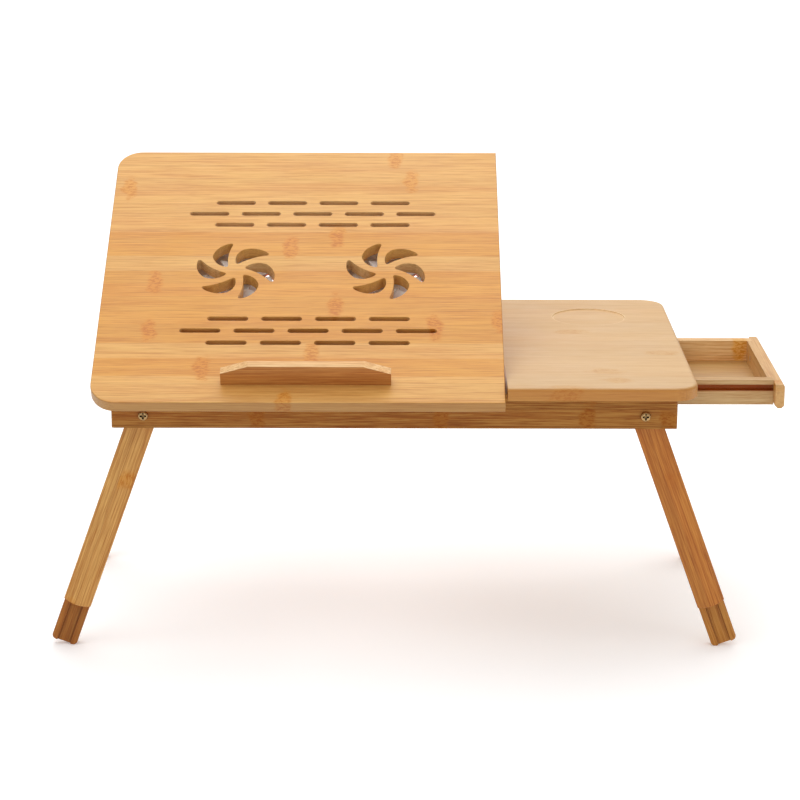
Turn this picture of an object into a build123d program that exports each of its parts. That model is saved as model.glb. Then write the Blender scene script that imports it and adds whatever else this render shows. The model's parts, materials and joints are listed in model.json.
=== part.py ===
from build123d import *
from math import cos, radians, sin
import os

os.makedirs("parts", exist_ok=True)

# Bamboo laptop desk, in millimetres. X runs to the right, Y to the back and Z up.
# The origin is on the floor, under the middle of the whole desk with its drawer out.

# Top, in two boards
top_length = 550.0
top_depth = 350.0
board_thickness = 12.0
top_corner_radius = 24.0
fixed_top_length = 173.0
split_gap = 2.0
tilt_edge_round = 1.0
fixed_edge_round = 3.5
cup_recess_diameter = 72.0
cup_recess_depth = 1.2
cup_recess_round = 0.5
cup_right_distance = 81.0
cup_back_distance = 78.0

# Frame under the top
frame_length = 516.0
frame_inset = 24.0
rail_height = 32.7
rail_thickness = 12.0
rail_end_round = 2.5
end_rail_thickness = 11.0
divider_thickness = 11.0
divider_lap = 5.0
dowel_diameter = 6.0
dowel_length = 24.0
dowel_clearance = 0.1
dowel_edge_distance = 8.0

# Legs, each of two sections and a clamp knob
leg_splay = radians(20.0)
leg_width = 26.0
lower_leg_width = 24.5
leg_edge_round = 1.2
upper_leg_thickness = 10.0
upper_leg_length = 198.0
upper_leg_bow = 3.0
lower_leg_thickness = 11.0
foot_reach = 243.9
foot_round = 4.5
leg_travel = 40.0
leg_play = 0.1
groove_width = 12.5
groove_depth = 3.0
tongue_play = 0.3
tongue_length = 90.0
tongue_end_gap = 3.0
clamp_reach = 120.0
slot_end_wall = 10.0
stop_clearance = 0.1

# Pivot bolts, their washers and nuts
pivot_rise = 11.9
pivot_diameter = 6.0
pivot_clearance = 0.05
pivot_head_diameter = 9.3
pivot_head_height = 3.0
pivot_head_round = 1.8
pivot_cross_length = 6.0
pivot_cross_width = 1.7
pivot_cross_middle = 2.4
pivot_cross_depth = 2.0
washer_diameter = 13.0
washer_thickness = 1.0
nut_width = 10.0
nut_thickness = 5.0

# Clamp knobs
stud_diameter = 5.0
stud_slot_play = 0.4
insert_diameter = 8.0
insert_length = 9.0
knob_flange_diameter = 14.0
knob_flange_thickness = 1.4
knob_core_diameter = 16.0
knob_lobe_diameter = 6.4
knob_lobes = 5
knob_thickness = 8.5
knob_edge_round = 1.2

# Hinges of the tilting board
tilt_angle = radians(29.9)
hinge_offset = 2.3
hinge_spacing = 210.0
hinge_length = 30.0
knuckle_radius = 2.0
knuckle_gap = 0.3
hinge_pin_diameter = 2.0
hinge_pin_clearance = 0.05
leaf_thickness = 1.0
frame_leaf_depth = 9.0
board_leaf_depth = 13.0
leaf_fit = 0.2

# Pattern cut in the tilting board: two pinwheels and two groups of slots
pattern_right_distance = 180.0
slot_length = 38.0
slot_width = 5.6
slot_pitch = 50.0
slot_row_pitch = 16.0
slot_group_offset = 81.8
slot_row_counts = (4, 5, 4)
fan_spacing = 142.0
pinwheel_blades = 6
pinwheel_start_angle = -36.0
pinwheel_tip_round = 2.0
# Points round one opening of a pinwheel, each a radius and an angle in degrees
pinwheel_root = (8.6, 0)
pinwheel_front = (22.2, 5)
pinwheel_crest = (30.4, -6)
pinwheel_back = (35.8, -24)
pinwheel_tip = (39.2, -50)
pinwheel_hollow = (25.2, -37)

# Strip that stops a laptop from sliding off
stop_length = 154.0
stop_thickness = 8.0
stop_height = 23.0
stop_end_height = 14.0
stop_slope_length = 25.0
stop_front_distance = 22.4
stop_edge_round = 0.8
stop_screw_diameter = 3.5
stop_screw_head_diameter = 7.0
stop_screw_spacing = 100.0
stop_screw_depth = 12.0
stop_screw_sink = 0.6

# Prop that holds the board up, and the notched block it stands in
prop_width = 24.0
prop_thickness = 7.0
prop_slope = radians(67.0)
prop_hinge_gap = 9.3
prop_clearance = 0.3
prop_pin_diameter = 3.0
prop_pin_clearance = 0.05
prop_ear_thickness = 7.0
prop_ear_length = 16.0
prop_ear_radius = 4.5
rack_rail_width = 24.0
rack_rail_thickness = 5.4
rack_width = 20.0
rack_thickness = 5.2
rack_notch_depth = 1.7
lower_notch_angles = (25.0, 20.0)
rack_tail = 21.5
rack_wall = 2.4
prop_lift = 3.3

# Drawer under the fixed board
drawer_out = 94.7
drawer_width = 160.0
drawer_height = 23.5
drawer_length = 149.0
drawer_offset = -17.5
drawer_top_gap = 0.9
drawer_side = 11.0
drawer_front = 5.0
drawer_back = 8.0
drawer_bottom = 3.0
drawer_groove_height = 6.0
drawer_groove_depth = 5.0
groove_top_distance = 4.25
drawer_play = 1.0
face_width = 183.0
face_height = 22.5
face_thickness = 8.5
face_drop = 1.4
face_bottom_chamfer = 2.5
face_top_chamfer = 1.5
runner_overhang = 4.3
runner_play = 0.35
drawer_screw_diameter = 3.0
drawer_screw_head_diameter = 6.0
drawer_screw_spacing = 90.0
drawer_screw_length = 11.0

# Fan unit under the tilting board
housing_length = 233.0
housing_width = 98.0
housing_depth = 16.0
housing_wall = 2.0
housing_corner = 9.0
housing_face_round = 1.5
housing_screw_inset = 10.0
housing_screw_diameter = 3.0
housing_screw_head_diameter = 6.0
housing_screw_head_height = 1.8
housing_screw_bite = 8.0
housing_post_diameter = 8.0
screw_clearance = 0.1
grille_rows = ((17.0, 21.5), (25.0, 29.5), (33.0, 38.0))
grille_spoke_width = 6.0
pocket_length = 53.0
pocket_width = 68.0
pocket_corner = 5.0
pocket_rib_height = 1.6
pocket_rib_width = 2.0
pocket_rib_spacing = 14.0
fan_cap_diameter = 31.0
fan_cap_thickness = 0.5
stator_diameter = 24.0
stator_height = 3.0
spindle_diameter = 2.5
spindle_clearance = 0.05
spindle_length = 6.5
rotor_diameter = 68.0
rotor_gap = 0.6
rotor_hub_diameter = 27.0
rotor_hub_height = 7.0
blade_count = 7
blade_thickness = 1.2
blade_root_chord = 10.0
blade_root_pitch = 38.0
blade_tip_chord = 20.0
blade_tip_pitch = 20.0

# Lead of the fans, coiled in the pocket
lead_diameter = 3.0
coil_pitch = 3.6
coil_radius = 21.0
coil_straight = 19.0
coil_half_turns = 4
gland_diameter = 7.0
gland_length = 3.0
plug_width = 15.0
plug_height = 6.2
plug_length = 15.5
plug_round = 1.6
shell_width = 12.0
shell_height = 4.5
shell_length = 11.0
shell_wall = 0.4
shell_window = 2.25
shell_window_spacing = 5.0
plug_tongue_width = 10.4
plug_tongue_height = 1.8
lead_samples = 400
tie_width = 3.0
tie_thickness = 1.2
tie_clearance = 0.3
tie_head = 4.0
tie_head_height = 2.8

# Heights and lengths that follow from the sizes above
half_leg = leg_width / 2
half_foot = lower_leg_width / 2
pivot_z = (
    (foot_reach - foot_round) * cos(leg_splay)
    + (half_foot - foot_round) * sin(leg_splay)
    + foot_round
)
rail_bottom = pivot_z - pivot_rise
rail_top = rail_bottom + rail_height
frame_depth = top_depth - 2 * frame_inset
rail_inner = frame_depth / 2 - rail_thickness
pivot_x = (
    frame_length / 2
    - end_rail_thickness
    - (half_leg + stop_clearance + pivot_rise * sin(leg_splay)) / cos(leg_splay)
)

# The tilting board's own directions: s runs back along it from the hinge pin, n stands off it
under_n = hinge_offset
upper_n = hinge_offset + board_thickness
front_s = -(frame_inset - hinge_offset)

# Middle of the top, seen from the origin in the middle of the whole desk
reach_left = (
    pivot_x
    + (foot_reach - foot_round) * sin(leg_splay)
    + (half_foot - foot_round) * cos(leg_splay)
    + foot_round
)
reach_right = frame_length / 2 + drawer_out + face_thickness
reach_front = (
    frame_depth / 2
    + hinge_offset
    - (front_s + tilt_edge_round) * cos(tilt_angle)
    + (upper_n - tilt_edge_round) * sin(tilt_angle)
    + tilt_edge_round
)
reach_back = top_depth / 2
mid_x = (reach_left - reach_right) / 2
mid_y = (reach_front - reach_back) / 2

hinge_y = mid_y - frame_depth / 2 - hinge_offset
hinge_z = rail_top - hinge_offset
board_plane = Plane(
    origin=(mid_x, hinge_y, hinge_z),
    x_dir=(1, 0, 0),
    z_dir=(0, -sin(tilt_angle), cos(tilt_angle)),
)
frame_left = mid_x - frame_length / 2
frame_right = mid_x + frame_length / 2
front_y = mid_y - frame_depth / 2
back_y = mid_y + frame_depth / 2
top_right = top_length / 2
tilt_right = top_right - fixed_top_length - split_gap
tilt_length = top_length - fixed_top_length - split_gap
pattern_x = top_right - fixed_top_length - split_gap - pattern_right_distance
pattern_s = front_s + top_depth / 2
hinge_places = (pattern_x - hinge_spacing / 2, pattern_x + hinge_spacing / 2)
fan_places = (pattern_x - fan_spacing / 2, pattern_x + fan_spacing / 2)
divider_right = mid_x + top_right - fixed_top_length + divider_lap
divider_left = divider_right - divider_thickness
leg_depth = washer_thickness + upper_leg_thickness + leg_play + lower_leg_thickness
knob_depth = leg_depth + leg_play + knob_flange_thickness + knob_thickness
screw_span_x = housing_length - 2 * housing_screw_inset
screw_span_s = housing_width - 2 * housing_screw_inset


def save(piece, name):
    """Name a finished piece and write it to its own file."""
    piece.part.label = name
    export_step(piece.part, f"parts/{name}.step")


def facing(end, x, y, z):
    """Upright plane at a point, facing the front (end -1) or the back (end 1)."""
    return Plane(origin=(x, y, z), x_dir=(-end, 0, 0), z_dir=(0, end, 0))


def on_board(x, s, n):
    """Point on the tilted board: x from the middle of the top, s back from the hinge, n off it."""
    return board_plane.from_local_coords(Vector(x, s, n))


def polar(radius, angle):
    """Point at a radius and an angle in degrees."""
    return (radius * cos(radians(angle)), radius * sin(radians(angle)))


# Fixed board at the right, with a shallow recess for a cup
with BuildPart() as fixed_top:
    fixed_middle = mid_x + top_right - fixed_top_length / 2
    with BuildSketch(Plane((fixed_middle, mid_y, rail_top))):
        Rectangle(fixed_top_length, top_depth)
    extrude(amount=board_thickness)
    right_corners = fixed_top.edges().filter_by(Axis.Z).sort_by(Axis.X)[2:]
    fillet(right_corners, top_corner_radius)
    top_rim = fixed_top.faces().sort_by(Axis.Z)[-1].edges()
    split_rim = top_rim.sort_by(Axis.X)[0]
    fillet([edge for edge in top_rim if edge != split_rim], fixed_edge_round)
    cup_x = mid_x + top_right - cup_right_distance
    cup_y = mid_y + reach_back - cup_back_distance
    with BuildSketch(Plane((cup_x, cup_y, rail_top + board_thickness))):
        Circle(cup_recess_diameter / 2)
    extrude(amount=-cup_recess_depth, mode=Mode.SUBTRACT)
    recess_wall = fixed_top.faces().filter_by(GeomType.CYLINDER).sort_by(SortBy.RADIUS)[-1]
    fillet(recess_wall.edges().filter_by(GeomType.CIRCLE), cup_recess_round)
save(fixed_top, "fixed_top")

# Tilting board at the left, with slots, pinwheels and seats for the hinges
with BuildPart() as tilting_board:
    board_middle = tilt_right - tilt_length / 2
    with BuildSketch(board_plane.offset(under_n)):
        with Locations((board_middle, front_s + top_depth / 2)):
            Rectangle(tilt_length, top_depth)
    extrude(amount=board_thickness)
    outer_corners = tilting_board.edges().filter_by(Axis(board_plane.origin, board_plane.z_dir))
    fillet(outer_corners.sort_by(Axis.X)[:2], top_corner_radius)
    upper_face = tilting_board.faces().sort_by(Axis(board_plane.origin, board_plane.z_dir))[-1]
    lower_face = tilting_board.faces().sort_by(Axis(board_plane.origin, board_plane.z_dir))[0]
    fillet(upper_face.edges() + lower_face.edges(), tilt_edge_round)
    with BuildSketch(board_plane.offset(under_n)):
        for side in (-1, 1):
            for row, count in enumerate(slot_row_counts):
                row_s = pattern_s + side * slot_group_offset + (row - 1) * slot_row_pitch
                with Locations((pattern_x, row_s)):
                    with GridLocations(slot_pitch, 1, count, 1):
                        SlotOverall(slot_length, slot_width)
    extrude(amount=board_thickness, mode=Mode.SUBTRACT)
    with BuildSketch() as pinwheel_cut:
        with BuildLine():
            ThreePointArc(polar(*pinwheel_root), polar(*pinwheel_front), polar(*pinwheel_crest))
            ThreePointArc(polar(*pinwheel_crest), polar(*pinwheel_back), polar(*pinwheel_tip))
            ThreePointArc(polar(*pinwheel_tip), polar(*pinwheel_hollow), polar(*pinwheel_root))
        make_face()
        fillet(pinwheel_cut.vertices().sort_by(Axis.X)[0], pinwheel_tip_round)
        fillet(pinwheel_cut.vertices().sort_by(Axis.Y)[0], pinwheel_tip_round)
    with BuildSketch(board_plane.offset(under_n)):
        for fan_x in fan_places:
            with Locations((fan_x, pattern_s)):
                with PolarLocations(0, pinwheel_blades, start_angle=pinwheel_start_angle):
                    add(pinwheel_cut.sketch)
    extrude(amount=board_thickness, mode=Mode.SUBTRACT)
    with BuildSketch(board_plane.offset(under_n)):
        for hinge_x in hinge_places:
            leaf_span = knuckle_radius + board_leaf_depth + leaf_fit
            with Locations((hinge_x, leaf_span / 2 - knuckle_radius)):
                Rectangle(hinge_length + 2 * leaf_fit, leaf_span)
    extrude(amount=leaf_thickness, mode=Mode.SUBTRACT)
    with BuildSketch(board_plane.offset(under_n)):
        stop_s = front_s + stop_front_distance + stop_thickness / 2
        with Locations((pattern_x, stop_s)):
            with GridLocations(stop_screw_spacing, 1, 2, 1):
                Circle(stop_screw_diameter / 2 + screw_clearance)
    extrude(amount=board_thickness, mode=Mode.SUBTRACT)
    with BuildSketch(board_plane.offset(under_n)):
        with Locations((pattern_x, stop_s)):
            with GridLocations(stop_screw_spacing, 1, 2, 1):
                Circle(stop_screw_head_diameter / 2 + screw_clearance)
    head_seat = stop_screw_sink + (stop_screw_head_diameter - stop_screw_diameter) / 2
    extrude(amount=head_seat, mode=Mode.SUBTRACT)
    with BuildSketch(board_plane.offset(under_n)):
        with Locations((pattern_x, pattern_s)):
            with GridLocations(screw_span_x, screw_span_s, 2, 2):
                Circle(housing_screw_diameter / 2 + screw_clearance)
    extrude(amount=housing_screw_bite + screw_clearance, mode=Mode.SUBTRACT)
save(tilting_board, "tilting_board")

# Strip along the front of the tilting board
with BuildPart() as laptop_stop:
    strip_face = Plane(
        origin=on_board(pattern_x, front_s + stop_front_distance, upper_n),
        x_dir=(1, 0, 0),
        z_dir=-board_plane.y_dir,
    )
    half_stop = stop_length / 2
    half_flat = half_stop - stop_slope_length
    with BuildSketch(strip_face):
        with BuildLine():
            Polyline(
                (-half_stop, 0),
                (half_stop, 0),
                (half_stop, stop_end_height),
                (half_flat, stop_height),
                (-half_flat, stop_height),
                (-half_stop, stop_end_height),
                close=True,
            )
        make_face()
    extrude(amount=-stop_thickness)
    board_axis = Axis(board_plane.origin, board_plane.z_dir)
    fillet(laptop_stop.faces().sort_by(board_axis)[-1].edges(), stop_edge_round)
    with BuildSketch(board_plane.offset(upper_n)):
        with Locations((pattern_x, stop_s)):
            with GridLocations(stop_screw_spacing, 1, 2, 1):
                Circle(stop_screw_diameter / 2 + screw_clearance)
    extrude(amount=stop_screw_depth + screw_clearance, mode=Mode.SUBTRACT)
save(laptop_stop, "laptop_stop")

# Two countersunk screws that hold the strip from below
with BuildPart() as stop_screws:
    with BuildSketch(board_plane.offset(under_n + stop_screw_sink)):
        with Locations((pattern_x, stop_s)):
            with GridLocations(stop_screw_spacing, 1, 2, 1):
                Circle(stop_screw_head_diameter / 2)
    extrude(amount=(stop_screw_head_diameter - stop_screw_diameter) / 2, taper=45)
    with BuildSketch(board_plane.offset(under_n + stop_screw_sink)):
        with Locations((pattern_x, stop_s)):
            with GridLocations(stop_screw_spacing, 1, 2, 1):
                Circle(stop_screw_diameter / 2)
    extrude(amount=board_thickness - stop_screw_sink + stop_screw_depth)
save(stop_screws, "stop_screws")

# Front and rear rails
for rail_name, rail_y, end in (("front_rail", front_y, -1), ("rear_rail", back_y, 1)):
    with BuildPart() as long_rail:
        rail_face = facing(end, mid_x, rail_y, 0)
        with BuildSketch(rail_face):
            with Locations((0, rail_bottom + rail_height / 2)):
                Rectangle(frame_length, rail_height)
        extrude(amount=-rail_thickness)
        outer_ends = long_rail.faces().sort_by(Axis.Y)[0 if end < 0 else -1].edges().filter_by(Axis.Z)
        fillet(outer_ends, rail_end_round)
        with BuildSketch(rail_face):
            with Locations((-pivot_x, pivot_z), (pivot_x, pivot_z)):
                Circle(pivot_diameter / 2 + pivot_clearance)
        extrude(amount=-rail_thickness, mode=Mode.SUBTRACT)
        for dowel_side in (-1, 1):
            dowel_x = dowel_side * (frame_length - end_rail_thickness) / 2
            with BuildSketch(rail_face.offset(-rail_thickness)):
                with Locations(
                    (dowel_x, rail_bottom + dowel_edge_distance),
                    (dowel_x, rail_top - dowel_edge_distance),
                ):
                    Circle(dowel_diameter / 2 + dowel_clearance)
            extrude(amount=dowel_length / 2 - rail_end_round, mode=Mode.SUBTRACT)
        if end < 0:
            seat_depth = hinge_offset - knuckle_radius + leaf_thickness
            with BuildSketch(rail_face):
                for hinge_x in hinge_places:
                    with Locations((hinge_x, rail_top - seat_depth / 2)):
                        Rectangle(hinge_length + 2 * leaf_fit, seat_depth)
            extrude(amount=-frame_leaf_depth - leaf_fit, mode=Mode.SUBTRACT)
    save(long_rail, rail_name)

# Left end rail, plain
with BuildPart() as left_end_rail:
    with BuildSketch(Plane((frame_left + end_rail_thickness / 2, mid_y, rail_bottom))):
        Rectangle(end_rail_thickness, 2 * rail_inner)
    extrude(amount=rail_height)
    for end in (-1, 1):
        end_face = facing(end, frame_left + end_rail_thickness / 2, mid_y + end * rail_inner, 0)
        with BuildSketch(end_face):
            with Locations((0, rail_bottom + dowel_edge_distance), (0, rail_top - dowel_edge_distance)):
                Circle(dowel_diameter / 2 + dowel_clearance)
        extrude(amount=-dowel_length / 2, mode=Mode.SUBTRACT)
save(left_end_rail, "left_end_rail")

# Right end rail, cut open at the top for the drawer
box_top = rail_top - drawer_top_gap
box_bottom = box_top - drawer_height
box_y = mid_y + drawer_offset
with BuildPart() as right_end_rail:
    with BuildSketch(Plane((frame_right - end_rail_thickness / 2, mid_y, rail_bottom))):
        Rectangle(end_rail_thickness, 2 * rail_inner)
    extrude(amount=rail_height)
    doorway_height = rail_top - box_bottom + drawer_play
    with BuildSketch(Plane((frame_right - end_rail_thickness / 2, box_y, rail_top))):
        Rectangle(end_rail_thickness, drawer_width + 2 * drawer_play)
    extrude(amount=-doorway_height, mode=Mode.SUBTRACT)
    for end in (-1, 1):
        end_face = facing(end, frame_right - end_rail_thickness / 2, mid_y + end * rail_inner, 0)
        with BuildSketch(end_face):
            with Locations((0, rail_bottom + dowel_edge_distance), (0, rail_top - dowel_edge_distance)):
                Circle(dowel_diameter / 2 + dowel_clearance)
        extrude(amount=-dowel_length / 2, mode=Mode.SUBTRACT)
save(right_end_rail, "right_end_rail")

# Divider under the split, cut away at its ends so that the folded legs pass under it
with BuildPart() as divider:
    with BuildSketch(Plane(((divider_left + divider_right) / 2, mid_y, rail_bottom))):
        Rectangle(divider_thickness, 2 * rail_inner)
    extrude(amount=rail_height)
    leg_room = knob_depth + drawer_play
    leg_room_height = pivot_rise + half_leg + drawer_play
    for end in (-1, 1):
        room_middle = mid_y + end * (rail_inner - leg_room / 2)
        with BuildSketch(Plane(((divider_left + divider_right) / 2, room_middle, rail_bottom))):
            Rectangle(divider_thickness, leg_room)
        extrude(amount=leg_room_height, mode=Mode.SUBTRACT)
save(divider, "divider")

# Hidden dowels that join the end rails to the long rails
with BuildPart() as frame_dowels:
    for end in (-1, 1):
        joint_face = facing(end, mid_x, mid_y + end * rail_inner, 0)
        with BuildSketch(joint_face):
            for side in (-1, 1):
                dowel_x = side * (frame_length - end_rail_thickness) / 2
                with Locations(
                    (dowel_x, rail_bottom + dowel_edge_distance),
                    (dowel_x, rail_top - dowel_edge_distance),
                ):
                    Circle(dowel_diameter / 2)
        half_dowel = dowel_length / 2 - rail_end_round - dowel_clearance
        extrude(amount=half_dowel)
        with BuildSketch(joint_face):
            for side in (-1, 1):
                dowel_x = side * (frame_length - end_rail_thickness) / 2
                with Locations(
                    (dowel_x, rail_bottom + dowel_edge_distance),
                    (dowel_x, rail_top - dowel_edge_distance),
                ):
                    Circle(dowel_diameter / 2)
        extrude(amount=-(dowel_length / 2 - dowel_clearance))
save(frame_dowels, "frame_dowels")

# Prop: a strip hinged under the board, with its round foot over a notch of the rack
prop_radius = prop_thickness / 2
prop_s = pattern_s - housing_width / 2 - prop_hinge_gap
prop_n = under_n - prop_clearance - prop_radius
prop_pin = on_board(pattern_x, prop_s, prop_n)
rack_top = rail_bottom + rack_rail_thickness + rack_thickness
seat_z = rack_top - rack_notch_depth + prop_radius
foot_z = seat_z + prop_lift
prop_reach = (prop_pin.Z - foot_z) / sin(prop_slope)
prop_side = Plane(
    origin=prop_pin,
    x_dir=(0, -cos(prop_slope), -sin(prop_slope)),
    z_dir=(1, 0, 0),
)
with BuildPart() as prop_strip:
    with BuildSketch(prop_side):
        with Locations((prop_reach / 2, 0)):
            SlotCenterToCenter(prop_reach, prop_thickness)
        Circle(prop_pin_diameter / 2 + prop_pin_clearance, mode=Mode.SUBTRACT)
    extrude(amount=prop_width / 2, both=True)
save(prop_strip, "prop_strip")

# Ears under the board, one each side of the strip, and the pin through them
ear_side = Plane(origin=prop_pin, x_dir=board_plane.y_dir, z_dir=(1, 0, 0))
ear_depth = under_n - prop_n
with BuildPart() as prop_ears:
    for side in (-1, 1):
        near = side * (prop_width / 2 + prop_clearance)
        with BuildSketch(ear_side.offset(near)):
            with BuildLine():
                Line((prop_ear_length / 2, ear_depth), (-prop_ear_length / 2, ear_depth))
                Line((-prop_ear_length / 2, ear_depth), (-prop_ear_radius, 0))
                ThreePointArc((-prop_ear_radius, 0), (0, -prop_ear_radius), (prop_ear_radius, 0))
                Line((prop_ear_radius, 0), (prop_ear_length / 2, ear_depth))
            make_face()
            Circle(prop_pin_diameter / 2 + prop_pin_clearance, mode=Mode.SUBTRACT)
        extrude(amount=side * prop_ear_thickness)
save(prop_ears, "prop_ears")

with BuildPart() as prop_hinge_pin:
    with BuildSketch(ear_side):
        Circle(prop_pin_diameter / 2)
    extrude(amount=prop_width / 2 + prop_clearance + prop_ear_thickness, both=True)
save(prop_hinge_pin, "prop_hinge_pin")

# Notched block on its rail. Each notch lies under the foot at one angle of the board.
prop_ratio = (prop_slope - tilt_angle) / tilt_angle
notch_places = []
for tilt in (tilt_angle, *[radians(angle) for angle in lower_notch_angles]):
    slope = tilt * (1 + prop_ratio)
    pin_y = hinge_y + prop_s * cos(tilt) - prop_n * sin(tilt)
    notch_places.append(pin_y - prop_reach * cos(slope))
print("prop turns", round(prop_ratio, 4), "times as far as the board")
rack_front = min(notch_places) - prop_radius - rack_wall
rack_back = notch_places[0] + rack_tail
with BuildPart() as prop_rack:
    rack_side = Plane(
        origin=(mid_x + pattern_x, 0, rail_bottom + rack_rail_thickness),
        x_dir=(0, 1, 0),
        z_dir=(1, 0, 0),
    )
    with BuildSketch(rack_side):
        with Locations(((rack_front + rack_back) / 2, rack_thickness / 2)):
            Rectangle(rack_back - rack_front, rack_thickness)
        notch_middle = rack_thickness - rack_notch_depth + prop_radius
        with Locations(*[(place, notch_middle) for place in notch_places]):
            Circle(prop_radius, mode=Mode.SUBTRACT)
    extrude(amount=rack_width / 2, both=True)
save(prop_rack, "prop_rack")

# Rail along the desk, behind the folded legs, that carries the notched block
rack_rail_y = rack_back - rack_rail_width / 2
with BuildPart() as rack_rail:
    rail_start = frame_left + end_rail_thickness
    with BuildSketch(Plane(((rail_start + divider_left) / 2, rack_rail_y, rail_bottom))):
        Rectangle(divider_left - rail_start, rack_rail_width)
    extrude(amount=rack_rail_thickness)
save(rack_rail, "rack_rail")

# Two butt hinges: leaves on the front rail, leaves under the board and their pins
hinge_side = Plane(origin=(mid_x, hinge_y, hinge_z), x_dir=(0, 1, 0), z_dir=(1, 0, 0))
middle_knuckle = hinge_length / 3
outer_knuckle = (hinge_length - middle_knuckle) / 2 - knuckle_gap
with BuildPart() as hinge_frame_leaves:
    for hinge_x in hinge_places:
        with BuildSketch(hinge_side.offset(hinge_x)):
            with Locations((hinge_offset + frame_leaf_depth / 2, knuckle_radius - leaf_thickness / 2)):
                Rectangle(frame_leaf_depth, leaf_thickness)
        extrude(amount=hinge_length / 2, both=True)
        for start in (hinge_x - hinge_length / 2, hinge_x + hinge_length / 2 - outer_knuckle):
            with BuildSketch(hinge_side.offset(start)):
                Circle(knuckle_radius)
                with Locations(((hinge_offset + leaf_thickness) / 2, knuckle_radius - leaf_thickness / 2)):
                    Rectangle(hinge_offset + leaf_thickness, leaf_thickness)
                Circle(hinge_pin_diameter / 2 + hinge_pin_clearance, mode=Mode.SUBTRACT)
            extrude(amount=outer_knuckle)
save(hinge_frame_leaves, "hinge_frame_leaves")

board_side = Plane(origin=board_plane.origin, x_dir=board_plane.y_dir, z_dir=(1, 0, 0))
with BuildPart() as hinge_board_leaves:
    for hinge_x in hinge_places:
        with BuildSketch(board_side.offset(hinge_x)):
            with Locations(((board_leaf_depth - knuckle_radius / 2) / 2, under_n + leaf_thickness / 2)):
                Rectangle(board_leaf_depth + knuckle_radius / 2, leaf_thickness)
        extrude(amount=hinge_length / 2, both=True)
        with BuildSketch(board_side.offset(hinge_x)):
            Circle(knuckle_radius)
            with Locations((0, (under_n + leaf_thickness) / 2)):
                Rectangle(knuckle_radius, under_n + leaf_thickness)
            Circle(hinge_pin_diameter / 2 + hinge_pin_clearance, mode=Mode.SUBTRACT)
        extrude(amount=middle_knuckle / 2, both=True)
save(hinge_board_leaves, "hinge_board_leaves")

with BuildPart() as hinge_pins:
    for hinge_x in hinge_places:
        with BuildSketch(hinge_side.offset(hinge_x)):
            Circle(hinge_pin_diameter / 2)
        extrude(amount=hinge_length / 2, both=True)
save(hinge_pins, "hinge_pins")

# Drawer: a box of five boards and an overlapping face
box_outer = frame_right + drawer_out
box_inner = box_outer - drawer_length
box_middle = (box_outer + box_inner) / 2
groove_z = box_top - groove_top_distance - drawer_groove_height / 2
for side_name, end in (("front", -1), ("rear", 1)):
    side_y = box_y + end * (drawer_width - drawer_side) / 2
    outer_y = box_y + end * drawer_width / 2
    with BuildPart() as drawer_side_board:
        with BuildSketch(Plane((box_middle, side_y, box_bottom))):
            Rectangle(drawer_length, drawer_side)
        extrude(amount=drawer_height)
        with BuildSketch(facing(end, box_middle, outer_y, groove_z)):
            Rectangle(drawer_length, drawer_groove_height)
        extrude(amount=-drawer_groove_depth, mode=Mode.SUBTRACT)
    save(drawer_side_board, f"drawer_side_{side_name}")
    with BuildPart() as drawer_runner:
        runner_start = divider_right
        runner_end = frame_right - end_rail_thickness
        runner_height = drawer_groove_height - 2 * runner_play
        runner_depth = runner_overhang + drawer_groove_depth - runner_play
        runner_y = outer_y + end * runner_overhang
        runner_face = facing(end, (runner_start + runner_end) / 2, runner_y, groove_z)
        with BuildSketch(runner_face):
            Rectangle(runner_end - runner_start, runner_height)
        extrude(amount=-runner_depth)
    save(drawer_runner, f"drawer_runner_{side_name}")

inner_width = drawer_width - 2 * drawer_side
with BuildPart() as drawer_back_board:
    with BuildSketch(Plane((box_inner + drawer_back / 2, box_y, box_bottom))):
        Rectangle(drawer_back, inner_width)
    extrude(amount=drawer_height)
save(drawer_back_board, "drawer_back")

screw_z = (box_top + box_bottom) / 2
with BuildPart() as drawer_front_board:
    with BuildSketch(Plane((box_outer - drawer_front / 2, box_y, box_bottom))):
        Rectangle(drawer_front, inner_width)
    extrude(amount=drawer_height)
    front_wall_inside = Plane((box_outer - drawer_front, box_y, screw_z), x_dir=(0, 1, 0), z_dir=(1, 0, 0))
    with BuildSketch(front_wall_inside):
        with GridLocations(drawer_screw_spacing, 1, 2, 1):
            Circle(drawer_screw_head_diameter / 2)
    head_cone = (drawer_screw_head_diameter - drawer_screw_diameter) / 2
    extrude(amount=head_cone, taper=45, mode=Mode.SUBTRACT)
    with BuildSketch(front_wall_inside):
        with GridLocations(drawer_screw_spacing, 1, 2, 1):
            Circle(drawer_screw_diameter / 2)
    extrude(amount=drawer_front, mode=Mode.SUBTRACT)
save(drawer_front_board, "drawer_front")

with BuildPart() as drawer_screws:
    with BuildSketch(front_wall_inside):
        with GridLocations(drawer_screw_spacing, 1, 2, 1):
            Circle(drawer_screw_head_diameter / 2)
    extrude(amount=head_cone, taper=45)
    with BuildSketch(front_wall_inside):
        with GridLocations(drawer_screw_spacing, 1, 2, 1):
            Circle(drawer_screw_diameter / 2)
    extrude(amount=drawer_screw_length)
save(drawer_screws, "drawer_screws")

with BuildPart() as drawer_bottom_board:
    bottom_start = box_inner + drawer_back
    bottom_end = box_outer - drawer_front
    with BuildSketch(Plane(((bottom_start + bottom_end) / 2, box_y, box_bottom))):
        Rectangle(bottom_end - bottom_start, inner_width)
    extrude(amount=drawer_bottom)
save(drawer_bottom_board, "drawer_bottom")

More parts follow.
